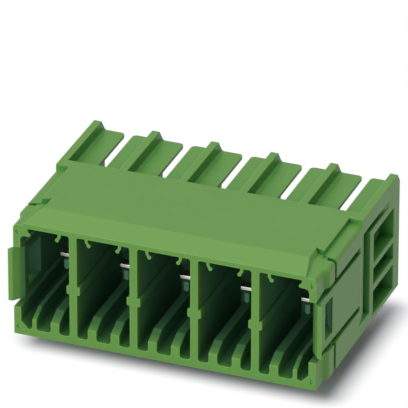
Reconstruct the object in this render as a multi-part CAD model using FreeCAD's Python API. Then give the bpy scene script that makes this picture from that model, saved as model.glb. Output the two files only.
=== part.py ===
"""Five-way right-angle header of a pluggable terminal block.

The housing is drawn with X along the row of positions, Y from the mating front
(Y = 0) to the rear and Z up from the board face (Z = 0).  Everything is moved
once, at the end, so that the origin is the middle of the seat on the board.
All lengths are in millimetres.
"""
import FreeCAD, Part
import os

os.makedirs("parts", exist_ok=True)
V = FreeCAD.Vector
X_AXIS = V(1, 0, 0)
Y_AXIS = V(0, 1, 0)
Z_AXIS = V(0, 0, 1)

# Row of positions
PITCH = 7.62
POSITIONS = 5
ROW_HALF = POSITIONS * PITCH / 2.0

# Outer shape of the housing
TOP = 15.1                       # heights count from the foot line of the partitions
BASE = -0.27                     # underside, which lies on the board
BLOCK_DEPTH = 16.3               # chamber block with the raised top face
BAY_DEPTH = 11.4                 # open bay behind the chamber block
DEPTH = BLOCK_DEPTH + BAY_DEPTH
END_MARGIN = 0.40                # side walls stand this far outside the row
STEP_Y = 2.65                    # the walls step inwards ahead of here
STEP_RUN = 0.60
STEP_IN = 0.45
REAR_CORNER_R = 0.25
BAND_DEPTH = 3.9                 # sloping band along the front edge of the top
BAND_DROP = 0.35
TOP_REAR_R = 0.4                 # rounded rear edge of the top face, between the ribs
MARK_R = 0.38                    # round marks in the front ends of the end walls
MARK_DEEP = 0.12
MARK_INSET = 0.70
MARK_HEIGHTS = (0.8, 13.5)

# Plug chambers
PARTITION = 0.95
END_WALL = 1.35
BACK_WALL = 1.9
FLOOR = 0.63
ROOF = 1.0
ROOF_R = 0.3
FLOOR_BEVEL = 0.9                # at the foot of the two end walls

# Floor ribs of a chamber
RIB_OFFSET = 1.45
RIB_WIDTH = 1.08
SLIM_RIB_OFFSET = 1.17           # outermost rib of each end chamber
SLIM_RIB_WIDTH = 0.52
RIB_TOP = 2.9
RIB_LEAD = 1.9                   # the ribs fall away towards the front
RIB_LEAD_DROP = 0.9
GROOVE_R = 0.4

# Rails on both faces of each partition
RAIL_Z = 6.4
RAIL_HEIGHT = 1.1
RAIL_OUT = 0.36
RAIL_EDGE = 0.1

# Hooked rails under the roof, measured from the chamber centre
HOOK_OUTER = 2.30
HOOK_INNER = 1.92
HOOK_TIP = 1.57
HOOK_DROP = 1.05
HOOK_R = 0.24
HOOK_DRAFT = 0.05
HOOK_SHOULDER = 0.45             # height of the straight part on the outer side
HOOK_NECK = 0.3                  # the same on the inner side
FILL_TAPER = 0.5                 # corner block beside the outermost hooks
FILL_EDGE = 0.15

# Openings at the rear, between the walls of the bay
PLATE_DROP = 1.6                 # plates over the bay lie this far below the top
PLATE_T = 0.4
PLATE_SLOT = 1.05
PLATE_CORNER = 0.55
TOP_RIB = 0.95
RIB_CHAMFER_Y = 1.0
RIB_CHAMFER_Z = 1.4
RIB_FOOT_R = 0.3
SIDE_WALL = 0.95
POCKET_WALL = 2.30               # thick stretch of the right-hand wall
POCKET_WALL_TOP = 12.0
POCKET_BACK = 0.6                # solid behind the last pocket

# Lowered strips along both ends of the top face
STRIP_DROP = 0.65
STRIP_WIDTH = 1.70
STRIP_REAR = 14.5
STRIP_R = 0.5
PLATEAU_INSET = 2.80             # ramp foot ahead of the cross groove, from the wall
PLATEAU_FRONT_INSET = 1.89       # the same at the front edge
RAMP_RUN = 0.50
RAMP_RUN_FRONT = 0.22

# Cross groove over each end wall and down its outer face
CROSS_Y = 4.9
CROSS_WIDTH = 0.75
CROSS_DEEP = 0.5
CROSS_DROP = 1.2
CROSS_TIP_DROP = 0.6             # at its thin end, over the chamber
CROSS_STRAIGHT = 0.60            # straight part, measured in from the wall
CROSS_BEND = 1.3                 # the groove bends back by this as it runs inwards
CROSS_TIP = 0.15                 # width of its thin end
CROSS_SAG_FRONT = 0.28           # of its bent front edge, off the chord
CROSS_SAG_REAR = 0.10
CROSS_LEAN = 0.36                # slope of the ramp's rear end, inside the groove

# Snap tongues in the side walls
TONGUE_Z = 4.05
TONGUE_HEIGHT = 6.9
TONGUE_OUT = 0.25                # its nose stands out beyond the side wall
TONGUE_NOSE = 1.0                # length of the nose's back slope
TONGUE_SUNK = 0.3                # behind the nose, set back from the side wall
TONGUE_FLAT = 0.52
TONGUE_BEVEL_Y = 1.4
TONGUE_ROOT = 0.5                # the tongue's root, ahead of the chamber's back
SLIT_BELOW = 0.7
SLIT_ABOVE = 1.0
SLIT_MOUTH = 0.45                # above the tongue, at the front edge
WINDOW_Y = 2.5
WINDOW_LENGTH = 2.0
WINDOW_SLANT = 1.8               # the window's rear face slants back inwards
WINDOW_MARGIN = 1.0              # of the tongue, above and below the window

# Ladder-shaped pockets in the side walls
LADDER_GROOVE_AHEAD = 2.7        # from the rear of the chamber block
LADDER_FLANK = 2.26              # length of the groove's sloping front flank
LADDER_FLANK_IN = 0.35
LADDER_BEHIND = 0.85
LADDER_STILE = 1.25
LADDER_REAR = 2.2                # from the rear face to the pockets
LADDER_GROOVE_DEEP = 1.2
LADDER_GROOVE_FOOT = 1.3
POCKET_FOOT = 0.35
POCKETS = (3.25, 2.15, 3.95)     # heights, from the bottom up
RUNGS = (0.85, 0.75, 0.9)        # rung above each pocket
VALLEY_HEIGHT = 0.9
VALLEY_REAR = 3.9
VALLEY_RUNOUT = 0.2
POCKET_DEEP = 1.7                # in the thick right-hand wall
POCKET_SHALLOW = 0.45            # in the thin left-hand wall

# Metal contacts
BLADE_W = 2.6
BLADE_T = 1.0
BLADE_Z = 7.1
BLADE_REACH = 6.85               # ahead of the back wall
TIP_SIDE = 0.45
TIP_LEAD = 0.9
TIP_THIN = 0.3
LEG_BEHIND = 2.6                 # front leg, from the rear of the chamber block
LEG_SPACING = 5.08
LEG_X = 1.2
LEG_Y = 1.0
TAIL = 3.8
TAIL_TIP = 0.6
TAIL_NARROW = 0.27
BLADE_CLEARANCE = 0.05           # beside and above a blade in its slot
WEB_WIDTH = 0.62                 # web under each blade
WEB_HEIGHT = 1.25
WEB_AHEAD = 0.2

# Working allowances of the construction
SINK = 0.2                       # added solids run this far into their walls
PAST = 1.0                       # cutters run this far past an outer face

# Planes that follow from the sizes above
WALL = ROW_HALF + END_MARGIN
WALL_FRONT = WALL - STEP_IN
END_INNER = WALL - END_WALL
BACK = BLOCK_DEPTH - BACK_WALL
CEILING = TOP - ROOF
PLATE_TOP = TOP - PLATE_DROP
STRIP_TOP = TOP - STRIP_DROP
STRIP_INNER = WALL - STRIP_WIDTH
BLADE_LOW = BLADE_Z - BLADE_T / 2.0
BLADE_HIGH = BLADE_Z + BLADE_T / 2.0
centres = [(i - (POSITIONS - 1) / 2.0) * PITCH for i in range(POSITIONS)]
partitions = [c + PITCH / 2.0 for c in centres[:-1]]


def box(x0, x1, y0, y1, z0, z1):
    """Block between two planes on each axis."""
    return Part.makeBox(x1 - x0, y1 - y0, z1 - z0, V(x0, y0, z0))


def face(points):
    return Part.Face(Part.makePolygon([V(*p) for p in points] + [V(*points[0])]))


def along_x(profile, x0, x1):
    """Extrude a (y, z) outline from x0 to x1."""
    return face([(x0, y, z) for y, z in profile]).extrude(V(x1 - x0, 0, 0))


def along_y(profile, y0, y1):
    """Extrude an (x, z) outline from y0 to y1."""
    return face([(x, y0, z) for x, z in profile]).extrude(V(0, y1 - y0, 0))


def along_z(profile, z0, z1):
    """Extrude an (x, y) outline from z0 to z1."""
    return face([(x, y, z0) for x, y in profile]).extrude(V(0, 0, z1 - z0))


def rounded(shape, radius, axis, test):
    """Fillet the edges parallel to an axis whose midpoint passes the test."""
    picked = []
    for edge in shape.Edges:
        a = edge.Vertexes[0].Point
        b = edge.Vertexes[-1].Point
        run = b - a
        if abs(run.dot(axis)) > 0.999 * run.Length and test((a + b) * 0.5):
            picked.append(edge)
    return shape.makeFillet(radius, picked)


def mirrored(shape):
    """Copy of a shape on the other end of the row."""
    return shape.mirror(V(0, 0, 0), X_AXIS)


def outer_body():
    """Block of the housing with the step in its side walls."""
    right = [(WALL_FRONT, 0), (WALL_FRONT, STEP_Y), (WALL, STEP_Y + STEP_RUN), (WALL, DEPTH)]
    left = [(-x, y) for x, y in reversed(right)]
    body = along_z(right + left, BASE, TOP)
    return rounded(body, REAR_CORNER_R, Z_AXIS, lambda m: m.y > DEPTH - REAR_CORNER_R)


def floor_ribs(i):
    """Both ends of each floor rib; the outermost rib of an end chamber is slim."""
    edges = []
    for side in (-1, 1):
        slim = i == (0 if side < 0 else POSITIONS - 1)
        middle = centres[i] + side * (SLIM_RIB_OFFSET if slim else RIB_OFFSET)
        half = (SLIM_RIB_WIDTH if slim else RIB_WIDTH) / 2.0
        edges += [middle - half, middle + half]
    return edges


def chamber_cut(i):
    """Everything taken out of the housing for one plug chamber."""
    x0 = partitions[i - 1] + PARTITION / 2.0 if i > 0 else -END_INNER
    x1 = partitions[i] - PARTITION / 2.0 if i < POSITIONS - 1 else END_INNER
    room = box(x0, x1, -PAST, BACK, RIB_TOP, CEILING)
    room = rounded(room, ROOF_R, Y_AXIS, lambda m: m.z > CEILING - ROOF_R)
    low = RIB_TOP - RIB_LEAD_DROP
    lead = [(-PAST, low), (0, low), (RIB_LEAD, RIB_TOP), (RIB_LEAD, RIB_TOP + SINK), (-PAST, RIB_TOP + SINK)]
    cut = room.fuse(along_x(lead, x0, x1))
    edges = [x0] + floor_ribs(i) + [x1]
    for a, b in zip(edges[0::2], edges[1::2]):
        groove = box(a, b, -PAST, BACK, FLOOR, RIB_TOP + SINK)
        radius = min(GROOVE_R, (b - a) * 0.4)
        cut = cut.fuse(rounded(groove, radius, Y_AXIS, lambda m: m.z < FLOOR + radius))
    return cut


def hook(c, side):
    """Hooked rail under the roof; its tip points to the chamber centre."""
    root = CEILING + SINK
    bottom = CEILING - HOOK_DROP
    tip = HOOK_TIP + HOOK_R
    profile = [
        (HOOK_OUTER, root), (HOOK_OUTER, CEILING), (HOOK_OUTER - HOOK_DRAFT, CEILING - HOOK_SHOULDER),
        (tip, bottom), (tip, bottom + 2 * HOOK_R), (HOOK_INNER, CEILING - HOOK_NECK), (HOOK_INNER, root),
    ]
    stem = along_y([(c + side * x, z) for x, z in profile], 0, BACK + SINK)
    nose = Part.makeCylinder(HOOK_R, BACK + SINK, V(c + side * tip, 0, bottom + HOOK_R), Y_AXIS)
    return stem.fuse(nose)


def end_fill():
    """Solid corner between the outermost hook and the right-hand wall, and the bevel below."""
    c = centres[-1]
    bottom = CEILING - HOOK_DROP
    upper = [
        (c + HOOK_INNER, CEILING + SINK), (c + HOOK_INNER, bottom + HOOK_R), (c + HOOK_TIP + HOOK_R, bottom),
        (END_INNER - FILL_TAPER, bottom), (END_INNER - FILL_EDGE, bottom - FILL_EDGE),
        (END_INNER, bottom - FILL_TAPER), (END_INNER + SINK, bottom - FILL_TAPER),
        (END_INNER + SINK, CEILING + SINK),
    ]
    lower = [
        (END_INNER + SINK, FLOOR - SINK), (END_INNER - FLOOR_BEVEL, FLOOR - SINK),
        (END_INNER - FLOOR_BEVEL, FLOOR), (END_INNER, FLOOR + FLOOR_BEVEL),
        (END_INNER + SINK, FLOOR + FLOOR_BEVEL),
    ]
    return along_y(upper, 0, BACK + SINK).fuse(along_y(lower, 0, BACK + SINK))


def rails(x):
    """The two guide rails of one partition, with bevelled outer edges."""
    out = PARTITION / 2.0 + RAIL_OUT
    face_in = out - RAIL_EDGE
    top = RAIL_Z + RAIL_HEIGHT
    right = [(face_in, RAIL_Z), (out, RAIL_Z + RAIL_EDGE), (out, top - RAIL_EDGE), (face_in, top)]
    left = [(-dx, z) for dx, z in reversed(right)]
    return along_y([(x + dx, z) for dx, z in right + left], 0, BACK + SINK)


def web(c):
    """Round-bottomed web that carries the blade of a contact."""
    r = WEB_WIDTH / 2.0
    y0 = BACK - BLADE_REACH - WEB_AHEAD
    z0 = BLADE_LOW - WEB_HEIGHT + r
    round_foot = Part.makeCylinder(r, BACK + SINK - y0, V(c, y0, z0), Y_AXIS)
    return box(c - r, c + r, y0, BACK + SINK, z0, BLADE_LOW).fuse(round_foot)


def front_band():
    """Waste above the sloping band along the front edge of the top."""
    fall = BAND_DROP * (BAND_DEPTH + PAST) / BAND_DEPTH
    slope = [(-PAST, TOP - fall), (BAND_DEPTH, TOP), (BAND_DEPTH, TOP + PAST), (-PAST, TOP + PAST)]
    return along_x(slope, -WALL - PAST, WALL + PAST)


def front_marks():
    """Two shallow round marks in the front end of the right-hand wall."""
    spots = [Part.makeCylinder(MARK_R, MARK_DEEP + PAST, V(WALL_FRONT - MARK_INSET, -PAST, z), Y_AXIS)
             for z in MARK_HEIGHTS]
    return spots[0].fuse(spots[1:])


def end_strip():
    """Waste above the lowered strip and its ramps at the right-hand end."""
    far = WALL + PAST
    over = TOP + SINK
    lean = SINK / STRIP_DROP

    def ramp(y, inset, run):
        foot = WALL - inset
        slope = [V(foot - run * lean, y, over), V(foot + run, y, STRIP_TOP)]
        return slope + [V(far, y, STRIP_TOP), V(far, y, over)]

    front = ramp(0, PLATEAU_FRONT_INSET, RAMP_RUN_FRONT)
    middle = ramp(BAND_DEPTH, PLATEAU_INSET, RAMP_RUN)
    ahead = [p - V(0, PAST, 0) for p in front]
    rear = CROSS_Y + CROSS_BEND + CROSS_TIP / 2.0
    behind = [V(p.x, rear - CROSS_LEAN * (p.x - WALL + PLATEAU_INSET), p.z) for p in middle]
    waste = box(STRIP_INNER, far, CROSS_Y, STRIP_REAR, STRIP_TOP, TOP + PAST)
    for near_end, far_end in ((ahead, front), (front, middle), (middle, behind)):
        wires = [Part.makePolygon(points + points[:1]) for points in (near_end, far_end)]
        waste = waste.fuse(Part.makeLoft(wires, True, True))
    return waste


def strip_edge():
    """Waste outside the rounded outer edge of the right-hand strip, round the step too."""
    r = STRIP_R
    z = STRIP_TOP - r
    half = r * 0.5 ** 0.5
    centre = V(WALL_FRONT - r, -PAST, z)
    start = centre + V(r, 0, 0)
    end = centre + V(0, 0, r)
    arc = Part.Arc(start, centre + V(half, 0, half), end).toShape()
    corner = start + V(PAST, 0, 0)
    sides = Part.makePolygon([end, end + V(0, 0, PAST), corner + V(0, 0, PAST + r), corner, start])
    outline = Part.Face(Part.Wire([arc] + sides.Edges))
    waste = None
    for run in (V(0, PAST + STEP_Y, 0), V(STEP_IN, STEP_RUN, 0), V(0, STRIP_REAR - STEP_Y - STEP_RUN, 0)):
        bar = outline.extrude(run)
        waste = waste.fuse(bar) if waste else bar
        outline.translate(run)
    return waste


def cross_groove():
    """Groove over the right-hand end wall and down its outer face."""
    far = WALL + PAST
    z = TOP - CROSS_DROP
    x0 = WALL - PLATEAU_INSET
    x1 = WALL - CROSS_STRAIGHT

    def edge(y, tip_y, sag):
        """Straight inwards from outside the wall, then an arc to the groove's thin end."""
        outer = V(far, y, z)
        bend = V(x1, y, z)
        tip = V(x0, tip_y, z)
        arc = Part.Arc(bend, (bend + tip) * 0.5 - V(0, sag, 0), tip).toShape()
        return [Part.makeLine(outer, bend), arc], outer, tip

    front, front_outer, front_tip = edge(CROSS_Y, CROSS_Y + CROSS_BEND, CROSS_SAG_FRONT)
    rear_y = CROSS_Y + CROSS_WIDTH
    rear, rear_outer, rear_tip = edge(rear_y, CROSS_Y + CROSS_BEND + CROSS_TIP, CROSS_SAG_REAR)
    inner_end = Part.makeLine(front_tip, rear_tip)
    outer_end = Part.makeLine(rear_outer, front_outer)
    plan = Part.Face(Part.Wire(front + [inner_end] + rear[::-1] + [outer_end]))
    over = plan.extrude(V(0, 0, CROSS_DROP + PAST))
    shallow = box(x0 - PAST, STRIP_INNER, CROSS_Y, rear_tip.y + PAST, z - PAST, TOP - CROSS_TIP_DROP)
    down = box(WALL - CROSS_DEEP, far, CROSS_Y, rear_y, -PAST, TOP + PAST)
    return over.cut(shallow).fuse(down)


def tongue_gap():
    """Opening of the right-hand wall that frees its snap tongue; it narrows at the front."""
    low = TONGUE_Z - SLIT_BELOW
    high = TONGUE_Z + TONGUE_HEIGHT
    rear = BACK - TONGUE_ROOT
    step = STEP_Y + STEP_RUN
    mouth = high + SLIT_MOUTH
    outline = [(-PAST, low), (rear, low), (rear, high + SLIT_ABOVE), (step, high + SLIT_ABOVE), (0, mouth),
               (-PAST, mouth)]
    return along_x(outline, END_INNER - SINK, WALL + PAST)


def tongue():
    """Snap tongue of the right-hand wall: nose, sunk arm and through window."""
    out = WALL + TONGUE_OUT
    root = BACK - TONGUE_ROOT + SINK
    plan = [
        (out - TONGUE_FLAT, 0), (out, 0), (WALL - TONGUE_SUNK, TONGUE_NOSE), (WALL, root),
        (END_INNER, root), (END_INNER, TONGUE_BEVEL_Y),
    ]
    rear = WINDOW_Y + WINDOW_LENGTH
    inside = END_INNER - PAST
    slant = WINDOW_SLANT * (WALL - inside) / END_WALL
    window = [(out, WINDOW_Y), (out, rear), (WALL, rear), (inside, rear + slant), (inside, WINDOW_Y)]
    low = TONGUE_Z
    high = TONGUE_Z + TONGUE_HEIGHT
    return along_z(plan, low, high).cut(along_z(window, low + WINDOW_MARGIN, high - WINDOW_MARGIN))


def ladder_cut(pocket):
    """Recess and pockets of the ladder pattern, for the right-hand wall."""
    far = WALL + PAST
    y0 = BLOCK_DEPTH + LADDER_BEHIND
    deep = WALL - min(LADDER_GROOVE_DEEP, pocket)
    z = POCKET_FOOT
    pockets = []
    for height, rung in zip(POCKETS, RUNGS):
        pockets.append(box(WALL - pocket, far, y0 + LADDER_STILE, DEPTH - LADDER_REAR, z, z + height))
        z += height + rung
    start = BLOCK_DEPTH - LADDER_GROOVE_AHEAD
    flank = start + LADDER_FLANK
    groove = [(far, start), (WALL, start), (WALL - LADDER_FLANK_IN, flank),
              (deep, flank), (deep, y0), (far, y0)]
    end = DEPTH - VALLEY_REAR
    valley = [(deep, y0 - SINK), (far, y0 - SINK), (far, end + VALLEY_RUNOUT), (WALL, end)]
    pockets.append(along_z(valley, z, z + VALLEY_HEIGHT))
    return along_z(groove, LADDER_GROOVE_FOOT, z + VALLEY_HEIGHT).fuse(pockets)


def plate_slot(c):
    """Slot that opens at the rear with flared, rounded mouth corners."""
    half = PLATE_SLOT / 2.0
    r = PLATE_CORNER
    z0 = PLATE_TOP - PLATE_T - SINK
    height = PLATE_T + 2 * SINK
    mouth = box(c - half - r, c + half + r, DEPTH - r, DEPTH + PAST, z0, z0 + height)
    for side in (-1, 1):
        corner = Part.makeCylinder(r, height, V(c + side * (half + r), DEPTH - r, z0), Z_AXIS)
        mouth = mouth.cut(corner)
    return mouth.fuse(box(c - half, c + half, BLOCK_DEPTH, DEPTH + PAST, z0, z0 + height))


def rear_bay_cuts():
    """Open bay behind the chambers: room under the plates, level above them, slots."""
    cuts = []
    walls = [SIDE_WALL / 2.0 - WALL] + partitions + [WALL - SIDE_WALL / 2.0]
    thick = [SIDE_WALL] + [PARTITION] * len(partitions) + [SIDE_WALL]
    for i in range(POSITIONS):
        x0 = walls[i] + thick[i] / 2.0
        x1 = walls[i + 1] - thick[i + 1] / 2.0
        cuts.append(box(x0, x1, BLOCK_DEPTH, DEPTH + PAST, -PAST, PLATE_TOP - PLATE_T))
        cuts.append(plate_slot(centres[i]))
    rear = DEPTH - LADDER_REAR + POCKET_BACK
    block = box(WALL - POCKET_WALL, WALL, BLOCK_DEPTH, rear, -PAST, POCKET_WALL_TOP)
    cuts[-2] = cuts[-2].cut(block)
    ribs = [SIDE_WALL - WALL - TOP_RIB / 2.0] + partitions + [WALL - SIDE_WALL + TOP_RIB / 2.0]
    for a, b in zip(ribs[:-1], ribs[1:]):
        x0 = a + TOP_RIB / 2.0
        x1 = b - TOP_RIB / 2.0
        level = box(x0, x1, BLOCK_DEPTH, DEPTH + PAST, PLATE_TOP, TOP + PAST)
        cuts.append(rounded(level, RIB_FOOT_R, Y_AXIS, lambda m: m.z < PLATE_TOP + RIB_FOOT_R))
        y0 = BLOCK_DEPTH - TOP_REAR_R
        z0 = TOP - TOP_REAR_R
        corner = box(x0, x1, y0, BLOCK_DEPTH, z0, TOP + PAST)
        cuts.append(corner.cut(Part.makeCylinder(TOP_REAR_R, x1 - x0, V(x0, y0, z0), X_AXIS)))
    low = TOP - RIB_CHAMFER_Z
    chamfer = [(DEPTH - RIB_CHAMFER_Y, TOP), (DEPTH, low), (DEPTH + PAST, low), (DEPTH + PAST, TOP + PAST),
               (DEPTH - RIB_CHAMFER_Y, TOP + PAST)]
    cuts.append(along_x(chamfer, -WALL - PAST, WALL + PAST))
    return cuts


def blade_slot(c):
    """Slot of one blade through the wall behind its chamber."""
    half = BLADE_W / 2.0 + BLADE_CLEARANCE
    return box(c - half, c + half, BACK - SINK, BLOCK_DEPTH + SINK, BLADE_LOW, BLADE_HIGH + BLADE_CLEARANCE)


def housing():
    """The moulded housing, in one piece."""
    cuts = [chamber_cut(i) for i in range(POSITIONS)] + rear_bay_cuts() + [front_band()]
    for shape in (end_strip(), strip_edge(), cross_groove(), tongue_gap(), front_marks()):
        cuts += [shape, mirrored(shape)]
    cuts += [ladder_cut(POCKET_DEEP), mirrored(ladder_cut(POCKET_SHALLOW))]
    adds = [hook(c, side) for c in centres for side in (-1, 1)]
    adds += [rails(x) for x in partitions] + [web(c) for c in centres]
    for shape in (end_fill(), tongue()):
        adds += [shape, mirrored(shape)]
    body = outer_body().cut(cuts).fuse(adds)
    return body.cut([blade_slot(c) for c in centres]).removeSplitter()


def solder_leg(c, y):
    """Leg down from the blade, narrowed to a blunt tip below the board face."""
    low = BASE - TAIL
    tip = low + TAIL_TIP

    def outline(middle, half):
        return [(middle - half, BLADE_Z), (middle - half, tip), (middle - half + TAIL_NARROW, low),
                (middle + half - TAIL_NARROW, low), (middle + half, tip), (middle + half, BLADE_Z)]

    front = along_y(outline(c, LEG_X / 2.0), y - LEG_Y / 2.0, y + LEG_Y / 2.0)
    return front.common(along_x(outline(y, LEG_Y / 2.0), c - LEG_X / 2.0, c + LEG_X / 2.0))


def contact(c):
    """Flat blade with a tapered tip, and its two solder legs."""
    half = BLADE_W / 2.0
    y0 = BACK - BLADE_REACH
    front_leg = BLOCK_DEPTH + LEG_BEHIND
    rear_leg = front_leg + LEG_SPACING
    end = rear_leg + LEG_Y / 2.0
    plan = [
        (c - half + TIP_SIDE, y0), (c + half - TIP_SIDE, y0), (c + half, y0 + TIP_LEAD), (c + half, end),
        (c - half, end), (c - half, y0 + TIP_LEAD),
    ]
    side = [
        (y0, BLADE_LOW + TIP_THIN), (y0 + TIP_LEAD, BLADE_LOW), (end, BLADE_LOW), (end, BLADE_HIGH),
        (y0 + TIP_LEAD, BLADE_HIGH), (y0, BLADE_HIGH - TIP_THIN),
    ]
    blade = along_z(plan, BLADE_LOW, BLADE_HIGH).common(along_x(side, c - half, c + half))
    legs = [solder_leg(c, y) for y in (front_leg, rear_leg)]
    return blade.fuse(legs).removeSplitter()


pieces = {"housing": housing()}
for number, c in enumerate(centres, 1):
    pieces["contact_%d" % number] = contact(c)
for name, shape in pieces.items():
    shape.translate(V(0, -BLOCK_DEPTH / 2.0, -BASE))
    shape.exportStep("parts/%s.step" % name)
    print(name, shape.isValid(), len(shape.Solids), len(shape.Faces), round(shape.Volume, 2))
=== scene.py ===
"""Finishes, light and camera for a five-way right-angle header of a pluggable terminal block."""
import math

import bpy
from bpy.props import FloatProperty, FloatVectorProperty, PointerProperty
from mathutils import Matrix, Vector


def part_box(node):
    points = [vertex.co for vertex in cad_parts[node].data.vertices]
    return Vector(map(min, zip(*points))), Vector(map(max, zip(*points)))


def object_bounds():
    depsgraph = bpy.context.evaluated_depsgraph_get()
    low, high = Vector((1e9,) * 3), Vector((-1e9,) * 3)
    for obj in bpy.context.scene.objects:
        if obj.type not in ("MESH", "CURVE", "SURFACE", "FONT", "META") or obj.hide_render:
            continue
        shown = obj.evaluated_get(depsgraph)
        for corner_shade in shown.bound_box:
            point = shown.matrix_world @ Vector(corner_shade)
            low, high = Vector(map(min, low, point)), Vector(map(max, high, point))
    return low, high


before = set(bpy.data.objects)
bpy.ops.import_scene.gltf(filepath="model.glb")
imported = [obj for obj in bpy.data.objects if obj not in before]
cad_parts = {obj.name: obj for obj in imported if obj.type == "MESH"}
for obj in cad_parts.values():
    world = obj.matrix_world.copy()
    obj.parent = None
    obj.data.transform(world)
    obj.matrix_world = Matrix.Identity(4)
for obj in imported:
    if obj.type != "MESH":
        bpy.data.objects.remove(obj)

bl_info = {
    "name": "Terminal Header Looks",
    "version": (1, 0, 0),
    "blender": (4, 5, 0),
    "location": "View3D > Sidebar > Header",
    "description": "Finishes of the moulded housing and the tinned contacts, with a pale studio",
    "category": "Object",
}

CAD_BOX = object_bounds()
FLOOR_LEVEL = CAD_BOX[0].z
MM = 0.001
IMAGE_WIDTH = 408                     # pixels
SENSOR_WIDTH = 36.0                   # millimetres, as the camera counts it

# Noise patterns: scale per millimetre, octaves, and roughness from one octave to the next
DRIFT = {"per_mm": 0.16, "detail": 2.0}
CLOUD = {"per_mm": 1.1, "detail": 3.0, "rough": 0.6}
FLOW = {"per_mm": 0.9, "detail": 2.0}
GRAIN = {"detail": 2.0, "rough": 0.55}
PATCHES = {"per_mm": 0.9, "detail": 3.0, "rough": 0.6}
LINES = {"detail": 2.0}
FLOW_STRETCH = (1.0, 0.12, 0.45)      # flow marks and rolling lines run along Y
LINE_STRETCH = (1.0, 0.04, 0.5)
NOISE_MIDDLE = 0.5
NOISE_SPAN = (0.3, 0.7)               # a noise seldom leaves this span

# Shares of the patterns in the tone, the relief and the roughness of the moulding
DRIFT_SHARE, CLOUD_SHARE, FLOW_SHARE = 0.5, 0.3, 0.2
GRAIN_SHARE, PIT_SHARE = 0.6, 0.4
PIT_SCALE = 0.6                       # of the grain's
PIT_SMOOTHNESS = 0.6
GRAIN_STRENGTH = 0.7
CLOUD_ROUGHNESS, GRAIN_ROUGHNESS, EDGE_POLISH = 0.10, 0.12, 0.06
PLASTIC_IOR = 1.5
GLINT = 1.65                          # painted highlight: edges are painted this much lighter than the skin
SKIN_SAMPLES = 8                      # of the rounded edges
RECESS_SAMPLES = 6

# Openness of a point, for the painted shade in hollows and beside inner corners: the mask is full
# up to the first value and ends at the second
HOLLOW_SHADE = (0.16, 0.60)
CORNER_SHADE = (0.45, 0.90)
EDGE_LEAN = 0.14                      # one less the cosine at which an edge's mask is full

# Spans of the masks of the chambers' painted shade and of the band's painted highlight, in
# millimetres off a face of the housing's box; each goes from 0 to 1
MOUTH_Y = (0.05, 1.1)                 # behind the front, where the chambers' painted shade starts
DEPTH_Y = (0.5, 5.0)                  # from the mouth's painted shade to the deep painted shade
CHAMBER_END_Y = (15.0, 14.6)
CHAMBER_TOP_Z = (-0.9, -1.0)
CHAMBER_SIDE_X = (-1.0, -1.3)
TONGUE_Y = (3.0, 3.4)                 # behind the nose, the tongues' inner faces
CHAMBER_FOOT_Z = (0.5, 0.8)           # above the board
BAND_TOP_Z = (-0.6, -0.5)
BAND_FADE = 0.05
UPWARD = (0.9, 0.95)                  # Z of the normal
INWARD = (-0.5, -0.6)                 # X of the normal, where plus is away from the middle

# Finish of the contacts
DULL_SPAN = (0.45, 0.72)
DULL_SHARE = 0.45
LINE_SPAN = (0.4, 0.7)
LINE_SHARE = 0.12
CONTACT_EDGE = 0.08                   # millimetres
CONTACT_SAMPLES = 6
LINE_DEPTH = 0.002                    # millimetres
LINE_STRENGTH = 0.5
PATCH_ROUGHNESS, LINE_ROUGHNESS, CONTACT_EDGE_POLISH = 0.16, 0.10, 0.05

# Studio
WHITE = (1.0, 1.0, 1.0, 1.0)
SHADOW_PAPER = (0.68, 0.67, 0.72, 1.0)       # the floor's diffuse colour, seen only inside the shadow; its grey-violet tone is painted shade that deepens and tints the rendered shadow
OVERHEAD = math.radians(89.9)         # not quite upright, which would leave the lamp's turn open
CLIP_NEAR, CLIP_FAR = 0.01, 20.0


class Value:
    """A number socket of a node tree; arithmetic on it adds Math nodes."""

    def __init__(self, tree, socket):
        self.tree = tree
        self.socket = socket

    def math(self, operation, *others, flip=False):
        values = [self, *others]
        if flip:
            values.reverse()
        inputs = dict(enumerate(values))
        return self.tree.value("ShaderNodeMath", 0, {"operation": operation}, inputs)

    def __add__(self, other):
        return self.math("ADD", other)

    def __sub__(self, other):
        return self.math("SUBTRACT", other)

    def __rsub__(self, other):
        return self.math("SUBTRACT", other, flip=True)

    def __mul__(self, other):
        return self.math("MULTIPLY", other)

    def __pow__(self, other):
        return self.math("POWER", other)

    __radd__ = __add__
    __rmul__ = __mul__

    def ramp(self, low, high, out_low=0.0, out_high=1.0, smooth=False):
        """The value moved from the span low..high to out_low..out_high, held at the ends."""
        settings = {"interpolation_type": "SMOOTHSTEP" if smooth else "LINEAR", "clamp": True}
        inputs = {"Value": self, "From Min": low, "From Max": high,
                  "To Min": out_low, "To Max": out_high}
        return self.tree.value("ShaderNodeMapRange", "Result", settings, inputs)

    def swing(self, amount):
        """How far a noise is off its middle, times an amount."""
        return (self - NOISE_MIDDLE) * amount


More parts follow.
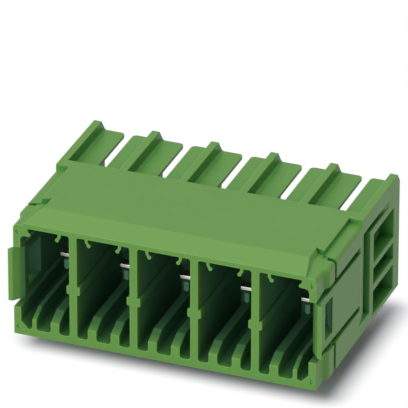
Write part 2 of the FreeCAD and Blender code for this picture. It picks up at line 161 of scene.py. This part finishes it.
class Tree:
    """Adds nodes to one node tree."""

    def __init__(self, node_tree):
        self.nodes = node_tree.nodes
        self.links = node_tree.links
        self.nodes.clear()

    def node(self, kind, settings=None, inputs=None):
        """A node of this kind: its settings first, then values or links for its sockets."""
        node = self.nodes.new(kind)
        for name, value in (settings or {}).items():
            setattr(node, name, value)
        for name, value in (inputs or {}).items():
            if isinstance(value, Value):
                value = value.socket
            if isinstance(value, bpy.types.NodeSocket):
                self.links.new(value, node.inputs[name])
            else:
                node.inputs[name].default_value = value
        return node

    def value(self, kind, output, settings=None, inputs=None):
        return Value(self, self.node(kind, settings, inputs).outputs[output])

    def place(self, stretch=(1.0, 1.0, 1.0)):
        """Object coordinates in millimetres, stretched for a pattern."""
        coordinates = self.node("ShaderNodeTexCoord").outputs["Object"]
        scale = [share / MM for share in stretch]
        inputs = {"Vector": coordinates, "Scale": scale}
        return self.node("ShaderNodeMapping", None, inputs).outputs["Vector"]

    def axes(self, vector):
        """The three parts of a vector."""
        parts = self.node("ShaderNodeSeparateXYZ", None, {0: vector})
        return [Value(self, part) for part in parts.outputs]

    def point(self):
        """X, Y and Z of the shaded point."""
        return self.axes(self.node("ShaderNodeTexCoord").outputs["Object"])

    def facing(self):
        """X, Y and Z of the face's normal."""
        return self.axes(self.node("ShaderNodeNewGeometry").outputs["Normal"])

    def noise(self, place, per_mm, detail=2.0, rough=0.5):
        inputs = {"Vector": place, "Scale": per_mm, "Detail": detail, "Roughness": rough}
        return self.value("ShaderNodeTexNoise", "Fac", {"noise_dimensions": "3D"}, inputs)

    def blend(self, factor, first, second):
        """Colour between two colours, by a factor."""
        factor_in, first_in, second_in, colour_out = 0, 6, 7, 2
        inputs = {factor_in: factor, first_in: first, second_in: second}
        return self.node("ShaderNodeMix", {"data_type": "RGBA"}, inputs).outputs[colour_out]

    def shaders(self, factor, first, second):
        """Shader between the shaders of two nodes, by a factor."""
        inputs = {0: factor, 1: first.outputs[0], 2: second.outputs[0]}
        return self.node("ShaderNodeMixShader", None, inputs)

    def surface(self, shader):
        self.node("ShaderNodeOutputMaterial", None, {"Surface": shader.outputs[0]})

    def recess(self, reach):
        """Masks of painted shade from ambient occlusion: darker green in narrow hollows, and a
        shade tint over the wider stretch beside inner corners.
        """
        settings = {"samples": RECESS_SAMPLES}
        openness = self.value("ShaderNodeAmbientOcclusion", "AO", settings, {"Distance": reach})
        return openness.ramp(*HOLLOW_SHADE, 1.0, 0.0), openness.ramp(*CORNER_SHADE, 1.0, 0.0)

    def edge(self, radius, samples):
        """Rounded normal along edges, and a mask of how far it leans off the face."""
        rounded = self.node("ShaderNodeBevel", {"samples": samples}, {"Radius": radius})
        bevel = rounded.outputs["Normal"]
        flat = self.node("ShaderNodeNewGeometry").outputs["Normal"]
        settings = {"operation": "DOT_PRODUCT"}
        lean = self.value("ShaderNodeVectorMath", "Value", settings, {0: bevel, 1: flat})
        return bevel, (1.0 - lean).ramp(0.0, EDGE_LEAN)


def rgba(colour, factor=1.0):
    """A colour property as a socket's colour, made lighter or darker by a factor."""
    return [part * factor for part in colour[:3]] + [1.0]


def off(face, *distances):
    """Places that lie these distances, in millimetres, off a face of a box."""
    return [face + distance * MM for distance in distances]


def new_material(name):
    material = bpy.data.materials.new(name)
    material.use_nodes = True
    return material, Tree(material.node_tree)


def deselect():
    for item in bpy.context.selected_objects:
        item.select_set(False)


def dress(nodes, material):
    """Give CAD nodes one finish through their material slots."""
    for name in nodes:
        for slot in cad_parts[name].material_slots:
            slot.material = material


class HousingLook(bpy.types.PropertyGroup):
    """Colours and surface of the green moulding."""

    colour: FloatVectorProperty(
        name="Colour", description="Green of the moulded plastic", subtype="COLOR", size=3,
        min=0.0, max=1.0, default=(0.142, 0.328, 0.070))
    # painted shade: the darker, bluish green deep in the chambers stands in for the shade there
    deep: FloatVectorProperty(
        name="Deep colour", description="Duller green in the chambers",
        subtype="COLOR", size=3, min=0.0, max=1.0, default=(0.072, 0.197, 0.118))
    # painted shade: a darker green just inside the chambers' mouths
    mouth: FloatVectorProperty(
        name="Mouth colour", description="Cleaner dark green just inside the chambers",
        subtype="COLOR", size=3, min=0.0, max=1.0, default=(0.070, 0.192, 0.060))
    # painted shade: darker green painted into grooves, slits and pockets
    shade: FloatVectorProperty(
        name="Shade colour", description="Richer green in the grooves, slits and pockets",
        subtype="COLOR", size=3, min=0.0, max=1.0, default=(0.036, 0.170, 0.042))
    # painted shade tint: a less red green beside inner corners, as green bounce light gives in
    # shade
    corner_shade: FloatVectorProperty(
        name="Corner colour", description="Cleaner green beside inner corners",
        subtype="COLOR", size=3, min=0.0, max=1.0, default=(0.094, 0.336, 0.068))
    # reach of the occlusion that places the painted shade
    shade_reach: FloatProperty(
        name="Deep reach", description="Distance over which nearby walls count as a recess",
        unit="LENGTH", min=0.0001, max=0.05, default=0.006, precision=4)
    # strength of the chambers' painted shade
    chamber_shade_share: FloatProperty(
        name="Deep share", description="How far the chambers take the deep colour",
        subtype="FACTOR", min=0.0, max=1.0, default=0.85)
    # painted highlight: the band along the top's front edge is painted lighter, for the light
    # falling on its slope
    band_depth: FloatProperty(
        name="Band depth", description="Width of the lighter band along the front edge of the top",
        unit="LENGTH", min=0.0, max=0.02, default=0.0039, precision=4)
    band_highlight: FloatVectorProperty(
        name="Band colour", description="Lighter green of that band", subtype="COLOR", size=3,
        min=0.0, max=1.0, default=(0.178, 0.380, 0.087))
    tone_change: FloatProperty(
        name="Tone change", description="Share by which the green drifts over the surface",
        subtype="FACTOR", min=0.0, max=0.5, default=0.05)
    roughness: FloatProperty(
        name="Roughness", description="Roughness of the moulded skin", subtype="FACTOR",
        min=0.0, max=1.0, default=0.36)
    specular: FloatProperty(
        name="Gloss level", description="Strength of the skin's reflection", subtype="FACTOR",
        min=0.0, max=1.0, default=0.10)
    grain_size: FloatProperty(
        name="Grain size", description="Pitch of the eroded mould grain", unit="LENGTH",
        min=0.00001, max=0.001, default=0.00016, precision=6)
    grain_depth: FloatProperty(
        name="Grain depth", description="Depth of the mould grain", unit="LENGTH",
        min=0.0, max=0.0001, default=0.000006, precision=6)
    edge_radius: FloatProperty(
        name="Edge radius", description="Rounding of the moulded edges", unit="LENGTH",
        min=0.0, max=0.001, default=0.00020, precision=6)


class ContactLook(bpy.types.PropertyGroup):
    """Colours and surface of the tinned contacts."""

    tin: FloatVectorProperty(
        name="Tin", description="Colour of clean tin plating", subtype="COLOR", size=3,
        min=0.0, max=1.0, default=(0.80, 0.75, 0.72))
    tarnish: FloatVectorProperty(
        name="Tarnish", description="Colour where the plating is dull and thin", subtype="COLOR",
        size=3, min=0.0, max=1.0, default=(0.52, 0.43, 0.38))
    roughness: FloatProperty(
        name="Roughness", description="Roughness of the plating", subtype="FACTOR",
        min=0.0, max=1.0, default=0.24)
    line_pitch: FloatProperty(
        name="Line pitch", description="Pitch of the fine rolling lines along the blade",
        unit="LENGTH", min=0.00001, max=0.001, default=0.00008, precision=6)


class StudioSetup(bpy.types.PropertyGroup):
    """Sizes of the floor, the lamps and the camera."""

    floor_size: FloatProperty(
        name="Floor size", description="Side of the floor", unit="LENGTH", min=0.1, default=6.0)
    # painted shadow edge: these sizes place the white that is faded in over the rendered shadow
    shadow_sides: FloatProperty(
        name="Shadow inset at the ends", description="The shadow is full this far inside the ends",
        unit="LENGTH", min=0.0, default=0.0016)
    shadow_front: FloatProperty(
        name="Shadow inset at the front",
        description="The shadow is full this far behind the front", unit="LENGTH", min=0.0,
        default=0.0061)
    shadow_fade: FloatProperty(
        name="Shadow fade", description="Width over which the shadow fades to plain white",
        unit="LENGTH", min=0.0001, default=0.0040)
    lamp_size: FloatProperty(
        name="Lamp size", description="Side of the square softboxes", unit="LENGTH", min=0.01,
        default=0.9)
    lamp_distance: FloatProperty(
        name="Lamp distance", description="Distance of the softboxes from the part", unit="LENGTH",
        min=0.1, default=1.2)
    top_level: FloatProperty(
        name="Top level", description="Light of the softbox overhead", min=0.0, max=4.0,
        default=0.525)
    front_level: FloatProperty(
        name="Front level", description="Light of the low softbox in front", min=0.0, max=4.0,
        default=0.69)
    front_elevation: FloatProperty(
        name="Front elevation", description="Height of the front softbox above the horizon",
        subtype="ANGLE", default=math.radians(13.0))
    front_azimuth: FloatProperty(
        name="Front azimuth", description="Direction of the front softbox round the part",
        subtype="ANGLE", default=math.radians(-9.0))
    rear_level: FloatProperty(
        name="Rear level",
        description="Light of the softbox behind, which shines on the top's skin", min=0.0,
        max=4.0, default=0.08)
    rear_azimuth: FloatProperty(
        name="Rear azimuth", description="Direction of the rear softbox round the part",
        subtype="ANGLE", default=math.radians(-159.0))
    rear_elevation: FloatProperty(
        name="Rear elevation", description="Height of the rear softbox above the horizon",
        subtype="ANGLE", default=math.radians(50.0))
    fill_level: FloatProperty(
        name="Fill level", description="Light that comes evenly from all round", min=0.0, max=2.0,
        default=0.21)
    camera_azimuth: FloatProperty(
        name="Camera azimuth", description="Direction of the camera round the part",
        subtype="ANGLE", default=math.radians(21.02))
    camera_elevation: FloatProperty(
        name="Camera elevation", description="Height of the camera above the horizon",
        subtype="ANGLE", default=math.radians(28.286))
    camera_roll: FloatProperty(
        name="Camera roll", description="Turn of the camera about its own axis", subtype="ANGLE",
        default=math.radians(0.098))
    camera_distance: FloatProperty(
        name="Camera distance", description="Distance of the camera from its target", unit="LENGTH",
        min=0.01, default=0.75)
    camera_focus_px: FloatProperty(
        name="Focal length in pixels", description="Focal length over the pixel size", min=10.0,
        default=6361.03)
    camera_target: FloatVectorProperty(
        name="Camera target", description="Point that the camera looks at", subtype="XYZ",
        unit="LENGTH", size=3, default=(0.000422, 0.00385, 0.015093), precision=6)


def outward(azimuth, elevation):
    """Unit vector from the part; azimuth 0 is straight in front of it."""
    flat = math.cos(elevation)
    return Vector((math.sin(azimuth) * flat, -math.cos(azimuth) * flat, math.sin(elevation)))


class HEADER_OT_housing(bpy.types.Operator):
    """Give the moulding its matt green skin with mould grain and soft edges"""

    bl_idname = "header.housing"
    bl_label = "Housing finish"

    def execute(self, context):
        look = context.scene.header_housing
        material, tree = new_material("moulded_green")
        plain = tree.place()
        cloud = tree.noise(plain, **CLOUD)
        bevel, edge = tree.edge(look.edge_radius, SKIN_SAMPLES)
        grain, height = self.relief(tree, look, plain)
        rough = (look.roughness + cloud.swing(CLOUD_ROUGHNESS) + grain.swing(GRAIN_ROUGHNESS)
                 - edge * EDGE_POLISH)
        bump = tree.node("ShaderNodeBump", None, {
            "Strength": GRAIN_STRENGTH, "Distance": look.grain_depth, "Height": height,
            "Normal": bevel})
        tree.surface(tree.node("ShaderNodeBsdfPrincipled", None, {
            "Base Color": self.colour(tree, look, self.tone(tree, plain, cloud), edge),
            "Roughness": rough, "Normal": bump.outputs[0], "IOR": PLASTIC_IOR,
            "Specular IOR Level": look.specular}))
        dress(["housing"], material)
        return {"FINISHED"}

    def relief(self, tree, look, plain):
        """The fine grain, and the height of grain and pits together."""
        per_mm = MM / look.grain_size
        grain = tree.noise(plain, per_mm, **GRAIN)
        pits = tree.value("ShaderNodeTexVoronoi", "Distance", {"feature": "SMOOTH_F1"}, {
            "Vector": plain, "Scale": per_mm * PIT_SCALE, "Smoothness": PIT_SMOOTHNESS})
        return grain, grain * GRAIN_SHARE + pits * PIT_SHARE

    def tone(self, tree, plain, cloud):
        """Slow change of the green: broad drift, clouds, and flow marks from the mould."""
        drift = tree.noise(plain, **DRIFT)
        flow = tree.noise(tree.place(FLOW_STRETCH), **FLOW)
        return (drift.ramp(*NOISE_SPAN) * DRIFT_SHARE + cloud.ramp(*NOISE_SPAN) * CLOUD_SHARE
                + flow.ramp(*NOISE_SPAN) * FLOW_SHARE)

    def colour(self, tree, look, tone, edge):
        """Skin, then the band's painted highlight and the edges' painted highlight, then painted
        shade beside inner corners, in hollows and in the chambers.
        """
        hollow_shade, corner_shade = tree.recess(look.shade_reach)
        dark = rgba(look.colour, 1.0 - look.tone_change)
        light = rgba(look.colour, 1.0 + look.tone_change)
        skin = tree.blend(tone, dark, light)
        # painted highlight on the band along the top's front edge
        skin = tree.blend(self.band(tree, look), skin, rgba(look.band_highlight))
        # painted highlight: edges outside the hollows are painted lighter than the skin
        skin = tree.blend(edge * (1.0 - hollow_shade), skin, rgba(look.colour, GLINT))
        # painted shade tint beside inner corners
        skin = tree.blend(corner_shade, skin, rgba(look.corner_shade))
        # painted shade: darker green in hollows
        skin = tree.blend(hollow_shade, skin, rgba(look.shade))
        # painted shade: the chambers and the tongues' inner faces are painted darker, from the
        # mouth's shade to the deep shade
        inside, depth = self.inside(tree)
        dull = tree.blend(depth, rgba(look.mouth), rgba(look.deep))
        return tree.blend(inside * look.chamber_shade_share, skin, dull)

    def band(self, tree, look):
        """Mask of the band along the front edge of the top, which a painted highlight makes a
        little lighter.
        """
        low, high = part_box("housing")
        _, y, z = tree.point()
        end = low.y + look.band_depth
        return (y.ramp(*off(end, 0.0, -BAND_FADE)) * z.ramp(*off(high.z, *BAND_TOP_Z))
                * tree.facing()[2].ramp(*UPWARD))

    def inside(self, tree):
        """Mask of the chambers and the tongues' inner faces, where shade is painted, and how deep a
        point lies in them.
        """
        low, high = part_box("housing")
        x, y, z = tree.point()
        inward = (x.math("SIGN") * tree.facing()[0]).ramp(*INWARD)
        tongue = inward * y.ramp(*off(low.y, *TONGUE_Y))
        between = x.math("ABSOLUTE").ramp(*off(high.x, *CHAMBER_SIDE_X))
        along = y.ramp(*off(low.y, *MOUTH_Y)) * y.ramp(*off(low.y, *CHAMBER_END_Y))
        level = z.ramp(*off(high.z, *CHAMBER_TOP_Z)) * z.ramp(*off(0.0, *CHAMBER_FOOT_Z))
        return along * level * between.math("MAXIMUM", tongue), y.ramp(*off(low.y, *DEPTH_Y))


class HEADER_OT_contacts(bpy.types.Operator):
    """Give the blades and solder legs their tin plating with rolling lines"""

    bl_idname = "header.contacts"
    bl_label = "Contact finish"

    def execute(self, context):
        look = context.scene.header_contacts
        material, tree = new_material("tin_plating")
        lines = tree.noise(tree.place(LINE_STRETCH), MM / look.line_pitch, **LINES)
        patches = tree.noise(tree.place(), **PATCHES)
        dull = (patches.ramp(*DULL_SPAN, smooth=True) * DULL_SHARE
                + lines.ramp(*LINE_SPAN) * LINE_SHARE)
        bevel, edge = tree.edge(CONTACT_EDGE * MM, CONTACT_SAMPLES)
        rough = (look.roughness + patches.swing(PATCH_ROUGHNESS) + lines.swing(LINE_ROUGHNESS)
                 - edge * CONTACT_EDGE_POLISH)
        bump = tree.node("ShaderNodeBump", None, {
            "Strength": LINE_STRENGTH, "Distance": LINE_DEPTH * MM, "Height": lines,
            "Normal": bevel})
        tree.surface(tree.node("ShaderNodeBsdfPrincipled", None, {
            "Base Color": tree.blend(dull, rgba(look.tin), rgba(look.tarnish)),
            "Roughness": rough, "Normal": bump.outputs[0], "Metallic": 1.0}))
        dress([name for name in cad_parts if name.startswith("contact")], material)
        return {"FINISHED"}


class HEADER_OT_studio(bpy.types.Operator):
    """Build the pale floor, the soft lamps and the camera"""

    bl_idname = "header.studio"
    bl_label = "Studio"

    def execute(self, context):
        setup = context.scene.header_studio
        self.floor(setup)
        self.world(context.scene, setup)
        self.softbox("top_softbox", setup, 0.0, OVERHEAD, setup.top_level)
        self.softbox("front_softbox", setup, setup.front_azimuth, setup.front_elevation,
                     setup.front_level)
        self.softbox("rear_softbox", setup, setup.rear_azimuth, setup.rear_elevation,
                     setup.rear_level)
        self.camera(context.scene, setup)
        context.scene.view_settings.view_transform = "Standard"
        return {"FINISHED"}

    def seen(self, tree):
        """One for rays that show the background as it is, and nought for diffuse light."""
        path = tree.node("ShaderNodeLightPath")
        camera, glossy, transmission = (
            Value(tree, path.outputs[f"Is {kind} Ray"])
            for kind in ("Camera", "Glossy", "Transmission"))
        return (camera + glossy + transmission).ramp(0.0, 1.0)

    def outside(self, tree, setup):
        """Mask of the floor where plain white is painted over the rendered shadow, fading in from
        the rectangle below the part; it paints the shadow's soft edge.
        """
        x, y, _ = tree.point()
        low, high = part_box("housing")
        across = x.math("ABSOLUTE") - (high.x - setup.shadow_sides)
        ahead = (low.y + setup.shadow_front) - y
        behind = y - high.y
        along = ahead.math("MAXIMUM", behind).math("MAXIMUM", 0.0)
        beyond = (across.math("MAXIMUM", 0.0) ** 2.0 + along ** 2.0) ** 0.5
        return beyond.ramp(0.0, setup.shadow_fade, smooth=True)

    def floor(self, setup):
        """Paper with the rendered shadow on it, painted white fading in around it as the shadow's
        painted soft edge, and clear from below.
        """
        deselect()
        bpy.ops.mesh.primitive_plane_add(
            size=setup.floor_size, location=(0.0, 0.0, FLOOR_LEVEL))
        floor = bpy.context.object
        floor.name = "studio_floor"
        material, tree = new_material("white_floor")
        paper = tree.node("ShaderNodeBsdfDiffuse", None, {"Color": SHADOW_PAPER})
        glow = tree.node("ShaderNodeEmission", None, {"Color": WHITE, "Strength": 1.0})
        # painted shadow edge: white glow faded in over the rendered shadow of the paper
        above = tree.shaders(self.outside(tree, setup) * self.seen(tree), paper, glow)
        below = tree.value("ShaderNodeNewGeometry", "Backfacing")
        tree.surface(tree.shaders(below, above, tree.node("ShaderNodeBsdfTransparent")))
        floor.data.materials.append(material)

    def world(self, scene, setup):
        world = scene.world or bpy.data.worlds.new("studio_air")
        scene.world = world
        world.use_nodes = True
        tree = Tree(world.node_tree)
        level = self.seen(tree).ramp(0.0, 1.0, setup.fill_level, 1.0)
        sky = tree.node("ShaderNodeBackground", None, {"Color": WHITE, "Strength": level})
        tree.node("ShaderNodeOutputWorld", None, {"Surface": sky.outputs[0]})

    def softbox(self, name, setup, azimuth, elevation, level):
        """A lamp in whose light a white card that faces it renders at this level."""
        back = outward(azimuth, elevation)
        turn = back.to_track_quat("Z", "Y").to_euler()
        bpy.ops.object.light_add(type="AREA", location=back * setup.lamp_distance, rotation=turn)
        lamp = bpy.context.object
        lamp.name = name
        lamp.visible_camera = False
        lamp.data.shape = "SQUARE"
        lamp.data.size = setup.lamp_size
        lamp.data.energy = level * (math.pi * setup.lamp_distance) ** 2

    def camera(self, scene, setup):
        back = outward(setup.camera_azimuth, setup.camera_elevation)
        right = Vector((math.cos(setup.camera_azimuth), math.sin(setup.camera_azimuth), 0.0))
        level = Matrix((right, back.cross(right), back)).transposed()
        turn = level @ Matrix.Rotation(setup.camera_roll, 3, "Z")
        place = Vector(setup.camera_target) + back * setup.camera_distance
        bpy.ops.object.camera_add(location=place, rotation=turn.to_euler())
        camera = bpy.context.object
        camera.name = "product_camera"
        camera.data.sensor_width = SENSOR_WIDTH
        camera.data.lens = SENSOR_WIDTH * setup.camera_focus_px / IMAGE_WIDTH
        camera.data.clip_start = CLIP_NEAR
        camera.data.clip_end = CLIP_FAR
        scene.camera = camera


class HEADER_PT_panel(bpy.types.Panel):
    """Lists the finishes and the studio"""

    bl_idname = "HEADER_PT_panel"
    bl_label = "Terminal Header"
    bl_space_type = "VIEW_3D"
    bl_region_type = "UI"
    bl_category = "Header"

    def draw(self, context):
        scene = context.scene
        for operator, group in ((HEADER_OT_housing, scene.header_housing),
                                (HEADER_OT_contacts, scene.header_contacts),
                                (HEADER_OT_studio, scene.header_studio)):
            section = self.layout.box()
            section.operator(operator.bl_idname)
            for name in group.__annotations__:
                section.prop(group, name)


CLASSES = (HousingLook, ContactLook, StudioSetup,
           HEADER_OT_housing, HEADER_OT_contacts, HEADER_OT_studio, HEADER_PT_panel)


def register():
    for item in CLASSES:
        bpy.utils.register_class(item)
    bpy.types.Scene.header_housing = PointerProperty(type=HousingLook)
    bpy.types.Scene.header_contacts = PointerProperty(type=ContactLook)
    bpy.types.Scene.header_studio = PointerProperty(type=StudioSetup)


def unregister():
    del bpy.types.Scene.header_studio
    del bpy.types.Scene.header_contacts
    del bpy.types.Scene.header_housing
    for item in reversed(CLASSES):
        bpy.utils.unregister_class(item)


def main():
    register()
    bpy.ops.header.housing()
    bpy.ops.header.contacts()
    bpy.ops.header.studio()


if __name__ == "__main__":
    main()
